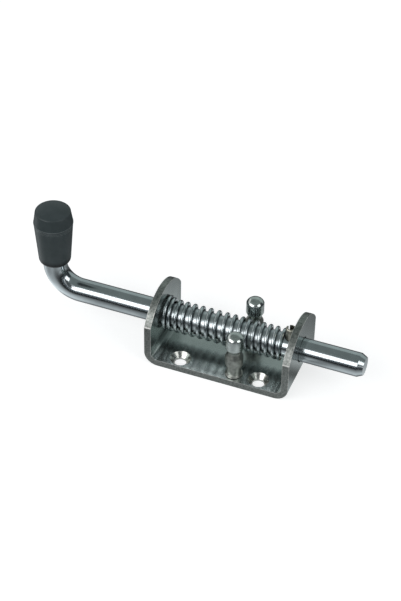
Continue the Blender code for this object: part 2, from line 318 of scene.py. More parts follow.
def gapShadeGroup():
    # painted shade: one deep in the narrow gaps between parts, where the colour is darkened as if shade fell
    # there
    group, given, result = newGroup("paintedGapShade", "Mask", Reach=1.6 * mm, Strength=1.0, Open=0.25, Shut=0.62)
    openness = addNode(group, "ShaderNodeAmbientOcclusion", {"Distance": given["Reach"]}, samples=6)
    closed = calculate(group, "SUBTRACT", 1.0, openness.outputs["AO"])
    deep = ramp(group, closed, given["Open"], given["Shut"], 0.0, given["Strength"])
    group.links.new(deep, result.inputs["Mask"])
    return group


def sheetLightGroup():
    # painted light on the sheet: a painted sheen brightens the plate near its long edges, and painted shade
    # darkens it inside the folds:
    # one where the sheen is painted, minus one where the shade is painted
    group, given, result = newGroup(
        "paintedSheetLight", "Depth", Vector=None, EdgeStart=8 * mm, EdgeEnd=13 * mm,
        LowTop=plateThickness + 4 * mm, LowFull=plateThickness + mm, FoldTop=15 * mm, FoldFull=7 * mm,
        WallFar=earInnerX - 3.5 * mm, WallNear=earInnerX - 1.5 * mm)
    parts = splitVector(group, given["Vector"])
    inwards = absolute(group, parts["X"])
    inside = times(group, calculate(group, "LESS_THAN", inwards, earInnerX + hair),
                   calculate(group, "GREATER_THAN", parts["Z"], plateThickness - hair))
    low = ramp(group, parts["Z"], given["LowTop"], given["LowFull"])
    edge = ramp(group, absolute(group, parts["Y"]), given["EdgeStart"], given["EdgeEnd"], smooth=True)
    paintedSheen = times(group, edge, times(group, low, inside))
    fold = ramp(group, parts["Z"], given["FoldTop"], given["FoldFull"], smooth=True)
    innerSide = times(group, ramp(group, inwards, given["WallFar"], given["WallNear"]), inside)
    middle = calculate(group, "SUBTRACT", 1.0, edge)
    paintedFoldShade = times(group, fold, times(group, innerSide, middle))
    group.links.new(calculate(group, "SUBTRACT", paintedSheen, paintedFoldShade), result.inputs["Depth"])
    return group


def gripFootShadeGroup():
    # painted shade: one at a low height, fading upwards, where the grip's foot is darkened as if shade fell
    # under it
    group, given, result = newGroup("paintedFootShade", "Mask", Vector=None, Full=34 * mm, Top=38 * mm)
    height = splitVector(group, given["Vector"])["Z"]
    group.links.new(ramp(group, height, given["Top"], given["Full"], smooth=True), result.inputs["Mask"])
    return group


def rubbedGroup():
    # one where the spring rubs the bar; the vector's first number is the length back from the bend
    group, given, result = newGroup("rubbedZone", "Mask", Vector=None, TipEnd=-112 * mm, TipFull=-106 * mm,
                                    HandleFull=-50 * mm, HandleEnd=-38 * mm)
    along = splitVector(group, given["Vector"])["X"]
    tip, handle = (ramp(group, along, given[end + "End"], given[end + "Full"], smooth=True)
                   for end in ("Tip", "Handle"))
    group.links.new(times(group, tip, handle), result.inputs["Mask"])
    return group


effects = {"clouds": cloudGroup(), "grain": grainGroup(), "wear": wearGroup(), "rings": ringGroup(),
           "gapShade": gapShadeGroup(), "sheetLight": sheetLightGroup(), "foot": gripFootShadeGroup(),
           "rubbed": rubbedGroup()}


def useGroup(tree, name, values):
    return addNode(tree, "ShaderNodeGroup", values, node_tree=effects[name]).outputs[0]


# what a finish has unless it says otherwise
commonFinish = {
    "metallic": 1.0, "specular": 0.5, "cloudShare": 0.6, "cloudHeight": 0.0, "wearStrength": 0.0,
    # the last two entries below set painted shade in the narrow gaps between parts
    "rings": 0.0, "ringHeight": 0.05 * mm, "gapShadeStrength": 0.0, "gapShadeColour": (0.015, 0.02, 0.022),
}

# each finish: plain colours are linear, lengths in metres, stretches in cycles per metre
finishes = {
    "zincSheet": {
        "dark": (0.350, 0.395, 0.385), "light": (0.480, 0.530, 0.515), "worn": (0.62, 0.65, 0.63),
        "metallic": 0.96, "roughness": 0.17, "roughSpread": 0.08, "cloudScale": 60.0,
        "stretch": (40.0, 500.0, 500.0), "grainHeight": 0.0008 * mm, "cloudHeight": 0.02 * mm,
        "wearStrength": 3.0, "wearRadius": 0.5 * mm, "rings": 0.9,
        # the two colours below are a painted sheen near the plate's long edges and painted shade inside the
        # folds
        "paintedSheen": (0.72, 0.77, 0.75), "paintedFoldShade": (0.14, 0.17, 0.165)},
    "shearedEdge": {
        "dark": (0.11, 0.12, 0.115), "light": (0.42, 0.44, 0.42), "worn": (0.78, 0.78, 0.75),
        "roughness": 0.30, "roughSpread": 0.2, "cloudScale": 900.0,
        "stretch": (1300.0, 1300.0, 1300.0), "grainHeight": 0.03 * mm, "cloudHeight": 0.05 * mm,
        "wearStrength": 6.0, "wearRadius": 0.6 * mm},
    "wornRim": {
        "dark": (0.40, 0.41, 0.39), "light": (0.92, 0.92, 0.89),
        "metallic": 0.5, "roughness": 0.34, "roughSpread": 0.1, "cloudScale": 260.0,
        "stretch": (260.0, 260.0, 260.0), "grainHeight": 0.01 * mm, "cloudHeight": 0.02 * mm},
    "countersunkCone": {
        "dark": (0.34, 0.35, 0.33), "light": (0.80, 0.80, 0.76), "worn": (0.90, 0.90, 0.87),
        "roughness": 0.17, "roughSpread": 0.14, "cloudScale": 500.0,
        "stretch": (300.0, 300.0, 6000.0), "grainHeight": 0.006 * mm,
        "wearStrength": 1.0, "wearRadius": 0.3 * mm},
    "brightZincBar": {
        "dark": (0.44, 0.48, 0.50), "light": (0.58, 0.63, 0.65), "worn": (0.68, 0.71, 0.72),
        "roughness": 0.11, "roughSpread": 0.09, "cloudScale": 110.0,
        "stretch": (60.0, 3800.0, 1.0), "grainHeight": 0.0015 * mm, "cloudHeight": 0.006 * mm,
        "wearStrength": 1.5, "wearRadius": 0.3 * mm, "attribute": "barFlow",
        "rubbed": {"dark": (0.46, 0.50, 0.52), "light": (0.66, 0.71, 0.73), "rougher": 0.16,
                   "stretch": (2600.0, 400.0, 1.0), "grainHeight": 0.004 * mm, "gapShadeStrength": 0.5}},
    "springWire": {
        "dark": (0.42, 0.47, 0.49), "light": (0.68, 0.73, 0.745),
        "roughness": 0.11, "roughSpread": 0.10, "cloudScale": 240.0,
        "stretch": (400.0, 400.0, 400.0), "grainHeight": 0.004 * mm, "gapShadeStrength": 0.95},
    "rolledPin": {
        "dark": (0.22, 0.215, 0.18), "light": (0.56, 0.55, 0.48), "worn": (0.66, 0.65, 0.58),
        "roughness": 0.28, "roughSpread": 0.2, "cloudScale": 500.0,
        "stretch": (2500.0, 2500.0, 260.0), "grainHeight": 0.006 * mm, "cloudHeight": 0.02 * mm,
        "wearStrength": 2.0, "wearRadius": 0.25 * mm},
    "turnedPost": {
        "dark": (0.42, 0.46, 0.45), "light": (0.68, 0.73, 0.71), "worn": (0.74, 0.77, 0.74),
        "roughness": 0.12, "roughSpread": 0.14, "cloudScale": 330.0,
        "stretch": (60.0, 60.0, 2400.0), "grainHeight": 0.002 * mm, "cloudHeight": 0.03 * mm,
        "wearStrength": 2.0, "wearRadius": 0.35 * mm},
    "dullPost": {
        "dark": (0.16, 0.17, 0.155), "light": (0.48, 0.50, 0.465), "worn": (0.62, 0.62, 0.57),
        "roughness": 0.30, "roughSpread": 0.16, "cloudScale": 420.0,
        "stretch": (1300.0, 1300.0, 160.0), "grainHeight": 0.012 * mm, "cloudHeight": 0.05 * mm,
        "wearStrength": 3.0, "wearRadius": 0.35 * mm},
    "mouldedGrip": {
        "dark": (0.036, 0.049, 0.051), "light": (0.052, 0.067, 0.071), "worn": (0.10, 0.115, 0.115),
        "metallic": 0.0, "roughness": 0.30, "roughSpread": 0.12, "cloudScale": 160.0,
        "stretch": (2600.0, 2600.0, 2600.0), "grainHeight": 0.010 * mm, "cloudHeight": 0.02 * mm,
        # the foot colour below is painted shade on the grip's lower part
        "wearStrength": 1.4, "wearRadius": 0.6 * mm, "specular": 0.3, "foot": (0.003, 0.004, 0.005)},
    "gripRim": {
        "dark": (0.055, 0.072, 0.075), "light": (0.085, 0.105, 0.11),
        "metallic": 0.0, "roughness": 0.12, "roughSpread": 0.04, "cloudScale": 160.0,
        "stretch": (900.0, 900.0, 900.0), "grainHeight": 0.002 * mm, "specular": 1.0},
    # a painted highlight: a lighter colour for the ring and the fine lines under it
    "gripHighlightBand": {
        "dark": (0.13, 0.155, 0.16), "light": (0.22, 0.25, 0.255),
        "metallic": 0.0, "roughness": 0.30, "roughSpread": 0.12, "cloudScale": 160.0,
        "stretch": (300.0, 300.0, 300.0), "grainHeight": 0.004 * mm},
}


def makeFinish(name):
    look = {**commonFinish, **finishes[name]}
    material, tree = newMaterial(name)
    if "attribute" in look:
        source = addNode(tree, "ShaderNodeAttribute", attribute_name=look["attribute"]).outputs["Vector"]
    else:
        source = addNode(tree, "ShaderNodeTexCoord").outputs["Object"]

    clouds = useGroup(tree, "clouds", {"Vector": source, "Scale": look["cloudScale"]})
    grain = useGroup(tree, "grain", {"Vector": source, "Stretch": look["stretch"]})
    patches = add(tree, times(tree, clouds, look["cloudShare"]),
                  times(tree, grain, 1 - look["cloudShare"]), clamp=True)
    height = add(tree, times(tree, grain, look["grainHeight"]), times(tree, clouds, look["cloudHeight"]))
    roughness = add(tree, look["roughness"], times(tree, grain, look["roughSpread"]))
    if look["rings"]:
        rings = useGroup(tree, "rings", {"Vector": source})
        patches = add(tree, patches, times(tree, rings, look["rings"]), clamp=True)
        height = add(tree, height, times(tree, rings, look["ringHeight"]))

    colour = mixColours(tree, patches, look["dark"], look["light"])
    # painted sheen near the plate's long edges, painted shade inside its folds
    if "paintedSheen" in look:
        sheetLight = useGroup(tree, "sheetLight", {"Vector": source})
        colour = mixColours(tree, positive(tree, sheetLight), colour, look["paintedSheen"])
        colour = mixColours(tree, positive(tree, times(tree, sheetLight, -1.0)), colour, look["paintedFoldShade"])
    if look["wearStrength"]:
        wear = useGroup(tree, "wear", {
            "Vector": source, "Radius": look["wearRadius"], "Strength": look["wearStrength"]})
        colour = mixColours(tree, wear, colour, look["worn"])
    # painted shade darkens the grip towards its foot
    if "foot" in look:
        colour = mixColours(tree, useGroup(tree, "foot", {"Vector": source}), colour, look["foot"])
    gapShadeStrength = look["gapShadeStrength"]
    if "rubbed" in look:
        rub = look["rubbed"]
        rubbed = useGroup(tree, "rubbed", {"Vector": source})
        cross = useGroup(tree, "grain", {"Vector": source, "Stretch": rub["stretch"]})
        colour = mixColours(tree, rubbed, colour, mixColours(tree, cross, rub["dark"], rub["light"]))
        roughness = add(tree, roughness, times(tree, rubbed, rub["rougher"]))
        height = add(tree, height, times(tree, cross, rubbed, rub["grainHeight"]))
        # painted shade between the spring's turns, on the rubbed part of the bar only
        gapShadeStrength = times(tree, rubbed, rub["gapShadeStrength"])
    # painted shade darkens the colour in the narrow gaps
    if gapShadeStrength:
        colour = mixColours(tree, useGroup(tree, "gapShade", {"Strength": gapShadeStrength}), colour, look["gapShadeColour"])

    bump = addNode(tree, "ShaderNodeBump", {"Height": height, "Distance": 1.0, "Strength": 1.0})
    connectOutput(tree, addNode(tree, "ShaderNodeBsdfPrincipled", {
        "Base Color": colour, "Roughness": roughness, "Metallic": look["metallic"],
        "Specular IOR Level": look["specular"], "Normal": bump.outputs[0]}))
    return material


materials = {name: makeFinish(name) for name in finishes}
print("finishes ready:", len(materials))


# bracket: one strip folded to a U, trimmed to arched ears, with its holes

bracket = {
    "length": 75 * mm, "width": 40 * mm, "foldInside": 3.5 * mm, "foldSteps": 16,
    "shoulder": 22.4 * mm, "height": 34 * mm, "archSteps": 90,
    "barHole": 6.5 * mm, "screwHole": 2.9 * mm, "screwMouth": 5.25 * mm,
    "screwX": 20.5 * mm, "screwY": 14 * mm, "postHole": 2.8 * mm,
    "edge": 0.3 * mm, "spare": 1 * mm, "holeSides": 96, "screwSides": 64,
    "finishes": ("zincSheet", "shearedEdge", "countersunkCone", "wornRim"),
    # how a face is told apart: by its slant or its facing, its depth in the edge, and its place round the bar
    "slant": (0.3, 0.95), "facing": 0.5, "bevelSlack": 0.05 * mm, "edgeDepth": 0.5 * mm, "barRing": 2 * mm,
}


def makeBracket():
    b = bracket
    outside = b["foldInside"] + plateThickness
    halfLength, front = b["length"] / 2, -b["width"] / 2
    foldX, top = halfLength - outside, b["height"] + b["spare"]
    piece = startPoint("foldedBracket", (-halfLength, front, top))
    pushBy(z=outside - top)
    swing((-foldX, front, outside), (0, 1, 0), -math.pi / 2, b["foldSteps"])
    pushBy(x=2 * foldX)
    swing((foldX, front, outside), (0, 1, 0), -math.pi / 2, b["foldSteps"])
    pushBy(z=top - outside)
    bpy.ops.mesh.select_all(action="SELECT")
    pushBy(y=b["width"])
    tidyShell()
    shape = bmesh.from_edit_mesh(piece.data)
    if min(shape.faces, key=lambda face: face.calc_center_median().z).normal.z > 0:
        bpy.ops.mesh.flip_normals()
    closeEdit(piece)
    applyModifier(piece, "SOLIDIFY", thickness=plateThickness, offset=-1, use_even_offset=True)
    cutWith(piece, earOutline(), "INTERSECT")
    cutWith(piece, holeCutter("barHole", b["barHole"], b["length"] + 4 * b["spare"], (0, 0, barHeight), True))
    coneFoot = plateThickness - (b["screwMouth"] - b["screwHole"])
    screwProfile = [(0, -b["spare"]), (b["screwHole"], -b["spare"]), (b["screwHole"], coneFoot),
                    (b["screwMouth"] + b["spare"], plateThickness + b["spare"]),
                    (0, plateThickness + b["spare"])]
    for sideX in (-1, 1):
        for sideY in (-1, 1):
            place = (sideX * b["screwX"], sideY * b["screwY"], 0)
            cutWith(piece, turnPiece("screwHole", screwProfile, place, b["screwSides"]))
    for side in (-1, 1):
        place = (post["x"], side * post["y"], 0)
        cutWith(piece, holeCutter("postHole", b["postHole"], 4 * plateThickness, place, False))
    softenEdges(piece, b["edge"])
    smoothFaces(piece)
    handOver(piece, "bracket", "base", b["finishes"])
    paintBracket(piece)


def earOutline():
    # seen along the bar: straight sides and one arc over the top
    b = bracket
    half, rise = b["width"] / 2, b["height"] - b["shoulder"]
    radius = (half ** 2 + rise ** 2) / (2 * rise)
    centreZ = b["height"] - radius
    wide = half + b["spare"]
    startAngle = math.acos(wide / radius)
    low = centreZ + radius * math.sin(startAngle)
    startX = -b["length"] / 2 - b["spare"]
    cutter = startPoint("earOutline", (startX, wide, low))
    swing((startX, 0, centreZ), (1, 0, 0), math.pi - 2 * startAngle, b["archSteps"])
    pushBy(z=-b["spare"] - low)
    pushBy(y=2 * wide)
    bpy.ops.mesh.select_all(action="SELECT")
    bpy.ops.mesh.edge_face_add()
    pushBy(x=b["length"] + 2 * b["spare"])
    tidyShell()
    closeEdit(cutter)
    return cutter


def holeCutter(name, radius, depth, place, lying):
    clearSelection()
    bpy.ops.mesh.primitive_cylinder_add(vertices=bracket["holeSides"], radius=radius, depth=depth,
                                        location=place, rotation=(0, math.pi / 2 if lying else 0, 0))
    cutter = bpy.context.object
    cutter.name = name
    return cutter


def paintBracket(piece):
    # the sheared edge goes all round the strip, its rims are worn and the countersinks are bright
    b = bracket
    low, steep = b["slant"]
    for face in piece.data.polygons:
        centre, normal = face.center, face.normal
        screwAway = math.hypot(abs(centre.x) - b["screwX"], abs(centre.y) - b["screwY"])
        clearOfBar = math.hypot(centre.y, centre.z - barHeight) > b["barHole"] + b["barRing"]
        slantX, slantY, slantZ = (low < abs(value) < steep for value in normal)
        onSide = abs(centre.y) > b["width"] / 2 - b["edge"] - b["bevelSlack"]
        onArch = centre.z > b["shoulder"] - b["edge"] and clearOfBar
        sideEdge = abs(normal.y) > b["facing"] and abs(centre.y) > b["width"] / 2 - b["edgeDepth"]
        archEdge = abs(normal.x) < b["facing"] and centre.z > b["shoulder"] - b["spare"] and clearOfBar
        if screwAway < b["screwMouth"] and abs(normal.z) < steep:
            finish = "countersunkCone"
        elif (onSide and slantY and (slantX or slantZ)) or (onArch and slantX):
            finish = "wornRim"
        elif sideEdge or archEdge:
            finish = "shearedEdge"
        else:
            finish = "zincSheet"
        face.material_index = b["finishes"].index(finish)


# posts: turned studs with a domed head that tapers to a short neck, a collar, a shank and a foot

post = {
    "x": 7.7 * mm, "y": 14.35 * mm, "sides": 72, "finishes": ("turnedPost", "dullPost"),
    "spigot": 2.5 * mm, "foot": 4.7 * mm, "footHeight": 0.7 * mm, "shank": 3.5 * mm,
    "collar": 4.5 * mm, "collarLow": 10.3 * mm, "collarHigh": 15.1 * mm,
    "neck": 3.35 * mm, "neckLow": 17.6 * mm, "neckHigh": 18.3 * mm,
    "head": 4.5 * mm, "headLow": 20.7 * mm, "headStraight": 5.7 * mm,
    "dome": 2.6 * mm, "domeStart": 14, "domeSteps": 14, "edge": 0.16 * mm, "edgeAngle": 24,
    # the foot's outline, outwards from its radius and up from its seat, and the flare under the shank
    "footOutline": ((-0.2 * mm, 0), (0, 0.2 * mm), (-0.3 * mm, 0.45 * mm)),
    "flare": 0.5 * mm, "flareHeight": 0.3 * mm,
    # the foot's uneven ring: the band of heights over the plate, and each wave's share, count and start
    "footBand": (0.29 * mm, 1.1 * mm), "footSlack": 0.05 * mm, "unevenFoot": 0.22 * mm,
    "waves": ((0.5, 3, 0), (0.3, 7, 1), (0.2, 13, 2)), "pulledIn": 0.9, "rearPhase": 2.1,
}


def postProfile():
    p = post
    seat = plateThickness + seatGap
    headTop = p["headLow"] + p["headStraight"]
    profile = [(0, seatGap), (p["spigot"], seatGap), (p["spigot"], seat)]
    profile += [(p["foot"] + out, seat + up) for out, up in p["footOutline"]]
    profile += [(p["shank"] + p["flare"], seat + p["footHeight"]),
                (p["shank"], seat + p["footHeight"] + p["flareHeight"]),
                (p["shank"], p["collarLow"] - (p["collar"] - p["shank"])), (p["collar"], p["collarLow"]),
                (p["collar"], p["collarHigh"]), (p["neck"], p["neckLow"]), (p["neck"], p["neckHigh"]),
                (p["head"], p["headLow"]), (p["head"], headTop)]
    # the dome meets the head's side at a slight crease
    startCos, startSin = math.cos(math.radians(p["domeStart"])), math.sin(math.radians(p["domeStart"]))
    for step in range(1, p["domeSteps"]):
        angle = math.radians(p["domeStart"] + (90 - p["domeStart"]) * step / p["domeSteps"])
        rise = (math.sin(angle) - startSin) / (1 - startSin)
        profile.append((p["head"] * math.cos(angle) / startCos, headTop + p["dome"] * rise))
    return profile + [(0, headTop + p["dome"])]


def makePosts():
    p = post
    first = turnPiece("studFront", postProfile(), (p["x"], -p["y"], 0), p["sides"])
    softenEdges(first, p["edge"], angle=p["edgeAngle"])
    smoothFaces(first)
    second = first.copy()
    second.data = first.data.copy()
    second.name = second.data.name = "studRear"
    bpy.context.collection.objects.link(second)
    second.location.y = 2 * p["y"]
    makeActive(second)
    bpy.ops.object.transform_apply(location=True, rotation=True, scale=True)
    for piece, node, side, phase in ((first, "front_post", -1, 0), (second, "rear_post", 1, p["rearPhase"])):
        spreadFoot(piece, side, phase)
        handOver(piece, node, "base", p["finishes"])
        for face in piece.data.polygons:
            face.material_index = 1 if face.center.z < p["neckHigh"] else 0


def spreadFoot(piece, side, phase):
    # the ring squeezed out round the foot when the stud was pressed in is uneven
    p = post
    low, high = (plateThickness + height for height in p["footBand"])
    for vert in piece.data.vertices:
        out = Vector((vert.co.x - p["x"], vert.co.y - side * p["y"]))
        if low < vert.co.z < high and out.length > p["shank"] + p["footSlack"]:
            angle = math.atan2(out.y, out.x) + phase
            swell = sum(share * math.sin(count * angle + start) for share, count, start in p["waves"])
            wanted = out.length + p["unevenFoot"] * (swell - p["pulledIn"])
            out = out.normalized() * wanted
            vert.co.x, vert.co.y = p["x"] + out.x, side * p["y"] + out.y


# bolt rod: drawn bar, chamfered at the tip, bent up into the handle arm

rod = {
    "tipX": 69.5 * mm, "chamferLength": 2.8 * mm, "chamferDepth": 1.4 * mm, "bend": 14 * mm,
    "bendSteps": 40, "sides": 128, "armTop": 59.7 * mm, "armChamfer": 1.2 * mm, "edge": 0.25 * mm,
    "edgeAngle": 20, "pinHole": 2.8 * mm,
    # places along the bar where its length is divided, from the tip to the bend
    "divisions": (50 * mm, pinX + 5 * mm, pinX - 5 * mm, 10 * mm, -10 * mm, -earInnerX, -50 * mm),
}


def makeRod():
    r = rod
    clearSelection()
    tipRadius = barRadius - r["chamferDepth"]
    bpy.ops.mesh.primitive_circle_add(vertices=r["sides"], radius=tipRadius, fill_type="NGON",
                                      location=(r["tipX"], 0, barHeight), rotation=(0, math.pi / 2, 0))
    piece = bpy.context.object
    piece.name = piece.data.name = "bentRod"
    openForEdit(piece, "FACE")
    bpy.ops.mesh.select_all(action="SELECT")
    pushBy(x=-r["chamferLength"])
    reached = r["tipX"] - r["chamferLength"]
    resizeRing(barRadius / tipRadius, (reached, 0, barHeight), "X")
    bendX = handleX + r["bend"]
    for division in (*r["divisions"], bendX):
        pushBy(x=division - reached)
        reached = division
    swing((bendX, 0, barHeight + r["bend"]), (0, 1, 0), math.pi / 2, r["bendSteps"])
    armLength = r["armTop"] - r["armChamfer"] - barHeight - r["bend"]
    pushBy(z=armLength)
    pushBy(z=r["armChamfer"])
    resizeRing((barRadius - r["armChamfer"]) / barRadius, (handleX, 0, r["armTop"]), "Z")
    tidyShell()
    closeEdit(piece)
    cutWith(piece, holeCutter("pinHole", r["pinHole"], 4 * barRadius, (pinX, 0, barHeight), False))
    softenEdges(piece, r["edge"], steps=3, angle=r["edgeAngle"])
    smoothFaces(piece)
    addBarFlow(piece, bendX)
    handOver(piece, "bolt_rod", "bolt", ["brightZincBar"])


def resizeRing(share, centre, along):
    value = (1, share, share) if along == "X" else (share, share, 1)
    bpy.ops.transform.resize(value=value, center_override=centre)


def addBarFlow(piece, bendX):
    # length along the bar and round its bend, then the way round it, for grain that follows the bar
    centreZ = barHeight + rod["bend"]
    flow = piece.data.attributes.new("barFlow", "FLOAT_VECTOR", "POINT")
    for vert in piece.data.vertices:
        x, y, z = vert.co
        if x >= bendX:
            along, across = bendX - x, z - barHeight
        elif z < centreZ:
            turned = math.atan2(bendX - x, centreZ - z)
            along = rod["bend"] * turned
            across = rod["bend"] - math.hypot(bendX - x, centreZ - z)
        else:
            along, across = rod["bend"] * math.pi / 2 + z - centreZ, x - handleX
        # two numbers for the way round keep the grain whole, with no seam
        flow.data[vert.index].vector = (along, y, across)


# roll pin: sheet rolled to a slotted tube

rollPin = {
    "halfLength": 12 * mm, "wall": 0.9 * mm, "slot": 1.1 * mm, "slotAngle": 140,
    "chamfer": 0.5 * mm, "edge": 0.1 * mm, "edgeAngle": 30, "steps": 60,
}


def makeRollPin():
    p = rollPin
    gap = math.asin(p["slot"] / 2 / (pinRadius - p["wall"] / 2))
    start = math.radians(p["slotAngle"]) + gap
    inner, low, high = pinRadius - p["wall"], barHeight - p["halfLength"], barHeight + p["halfLength"]
    section = [(inner, low), (pinRadius - p["chamfer"], low), (pinRadius, low + p["chamfer"]),
               (pinRadius, high - p["chamfer"]), (pinRadius - p["chamfer"], high), (inner, high)]
    points = [(pinX + radius * math.cos(start), radius * math.sin(start), height)
              for radius, height in section]
    piece = drawLine("slottedPin", points)
    bpy.ops.mesh.select_all(action="SELECT")
    bpy.ops.mesh.edge_face_add()
    swing((pinX, 0, barHeight), (0, 0, 1), math.tau - 2 * gap, p["steps"])
    tidyShell()
    closeEdit(piece)
    softenEdges(piece, p["edge"], angle=p["edgeAngle"])
    smoothFaces(piece)
    handOver(piece, "roll_pin", "bolt", ["rolledPin"])


# spring: right-handed, closed against the handle-side ear, with its first turns standing a little higher;
# its wire ends level, down the pin's front

spring = {
    "wire": 1.8 * mm, "clearance": 0.45 * mm, "closedTurns": 1, "openTurns": 15, "closedGap": 0.2 * mm,
    "lead": 0.3125, "leadRise": 0.5, "proud": 0.6 * mm, "proudTurns": 1.5,
    "levelEnd": 0.4375, "drift": 1.2 * mm, "turnSteps": 64, "wireSides": 5, "endRounding": 0.25 * mm,
    "smoothAngle": 50, "keep": 0.512,
}


def springLine():
    s = spring
    coil = barRadius + s["clearance"] + s["wire"] / 2
    startX = -earInnerX + seatGap + s["wire"] / 2
    endX = pinX - pinRadius - seatGap - s["wire"] / 2
    closedPitch = s["wire"] + s["closedGap"]
    closedLength = s["closedTurns"] * closedPitch
    openLength = endX - startX - closedLength
    turns = s["closedTurns"] + s["openTurns"]
    first, last = -round(s["lead"] * s["turnSteps"]), round((turns + s["levelEnd"]) * s["turnSteps"])
    points = []
    for step in range(first, last + 1):
        turn = step / s["turnSteps"]
        along = turn * closedPitch * (s["leadRise"] if turn < 0 else 1)
        # the extra height and width of the first turns fade out smoothly
        eased = min(1, max(0, turn / s["proudTurns"]))
        stand = s["proud"] * (1 - eased ** 2 * (3 - 2 * eased))
        if turn > s["closedTurns"]:
            share = min(1, (turn - s["closedTurns"]) / s["openTurns"])
            wave = math.sin(math.pi * share) ** 2 - (1 - share) * math.sin(math.tau * share)
            along = closedLength + openLength * share + s["drift"] * wave
        angle = math.tau * (turn - turns)
        radius = coil + stand
        across, up = -radius * math.sin(angle), radius * math.cos(angle)
        points.append((startX + along, across, barHeight + stand + up))
    return points


def makeSpring():
    # the pitch changes along the spring, so its line is worked out point by point
    s = spring
    points = springLine()
    line = bpy.data.curves.new("woundSpring", "CURVE")
    line.dimensions = "3D"
    line.bevel_depth = s["wire"] / 2
    line.bevel_resolution = s["wireSides"]
    line.use_fill_caps = True
    track = line.splines.new("POLY")
    track.points.add(len(points) - 1)
    for spot, place in zip(track.points, points):
        spot.co = (*place, 1)
    for end in (0, -1):
        track.points[end].radius = 1 - s["endRounding"] / (s["wire"] / 2)
    piece = bpy.data.objects.new("woundSpring", line)
    bpy.context.collection.objects.link(piece)
    makeActive(piece)
    bpy.ops.object.convert(target="MESH")
    piece = bpy.context.object
    openForEdit(piece)
    tidyShell()
    closeEdit(piece)
    bpy.ops.object.shade_smooth_by_angle(angle=math.radians(s["smoothAngle"]))
    handOver(piece, "spring", "coil", ["springWire"])
    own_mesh(piece)


# grip: moulded cap with a long taper, a fine ring and a low dome

grip = {
    "bottom": 33 * mm, "length": 32 * mm, "lower": 8.1 * mm, "widest": 9.9 * mm, "upper": 8.95 * mm,
    "widestAt": 23.8 * mm, "ringWidth": 0.7 * mm, "ringRise": 0.1 * mm, "ringEdge": 0.12 * mm,
    "topRounding": 0.8 * mm, "topTilt": 72, "lowerRounding": 2.0 * mm, "lowerTilt": -80,
    "roof": 5 * mm, "roofEdge": 0.8 * mm, "mouthEdge": 0.5 * mm, "bodyRings": (8 * mm, 14 * mm),
    "sides": 128, "roundSteps": 10, "rimSteps": 8, "smoothAngle": 50,
    "finishes": ("mouldedGrip", "gripHighlightBand", "gripRim"), "rimSlope": 0.15,
    # heights of the ring and of two fine lines under it that catch the light, coloured lighter as a painted
    # highlight
    "lightBands": ((21.9 * mm, 21.98 * mm), (22.7 * mm, 22.78 * mm), (23.85 * mm, 24.2 * mm)),
}


def gripProfile():
    g = grip
    bore, roof = barRadius + seatGap, g["length"] - g["roof"]
    low, high = g["widestAt"] - g["ringWidth"] / 2, g["widestAt"] + g["ringWidth"] / 2
    profile = [(0, roof), (bore - g["roofEdge"], roof), (bore, roof - g["roofEdge"]),
               (bore, g["mouthEdge"]), (bore + g["mouthEdge"], 0)]
    profile += arcPoints((g["lower"] - g["lowerRounding"], g["lowerRounding"]), g["lowerRounding"],
                         g["lowerTilt"], 0, g["roundSteps"])
    body = g["widest"] - g["ringRise"] - g["lower"]
    bandEdges = [height for band in g["lightBands"] for height in band if height < low]
    for height in [*g["bodyRings"], *bandEdges]:
        share = (height - g["lowerRounding"]) / (low - g["lowerRounding"])
        profile.append((g["lower"] + body * share, height))
    profile += [(g["widest"] - g["ringRise"], low), (g["widest"], low + g["ringEdge"]),
                (g["widest"], high - g["ringEdge"]), (g["widest"] - g["ringRise"], high)]
    # the small rounding at the rim runs on into a low dome
    tilt = math.radians(g["topTilt"])
    rimRadius = g["upper"] - g["topRounding"] * (1 - math.cos(tilt))
    domeRadius = rimRadius / math.cos(tilt)
    domeCentre = g["length"] - domeRadius
    sideTop = domeCentre + domeRadius * math.sin(tilt) - g["topRounding"] * math.sin(tilt)
    profile += arcPoints((g["upper"] - g["topRounding"], sideTop), g["topRounding"],
                         0, g["topTilt"], g["rimSteps"])
    profile += arcPoints((0, domeCentre), domeRadius, g["topTilt"], 90, g["roundSteps"])[1:-1]
    return profile + [(0, g["length"])]


def makeGrip():
    g = grip
    piece = turnPiece("handleCap", gripProfile(), (handleX, 0, g["bottom"]), g["sides"])
    smoothFaces(piece, angle=g["smoothAngle"])
    handOver(piece, "grip", "bolt", g["finishes"])
    for face in piece.data.polygons:
        height = face.center.z - g["bottom"]
        away = math.hypot(face.center.x - handleX, face.center.y)
        onBand = away > g["lower"] and any(low < height < high for low, high in g["lightBands"])
        aboveRing = height > g["widestAt"] + mm and away > g["upper"] - g["topRounding"]
        onRim = aboveRing and face.normal.z > g["rimSlope"]
        # the light bands get the painted highlight finish
        face.material_index = 1 if onBand else 2 if onRim else 0


makeBracket()
makePosts()
makeRod()
makeRollPin()
makeSpring()
makeGrip()


# studio: pale floor, soft lamps, grey and black cards that only the metal sees

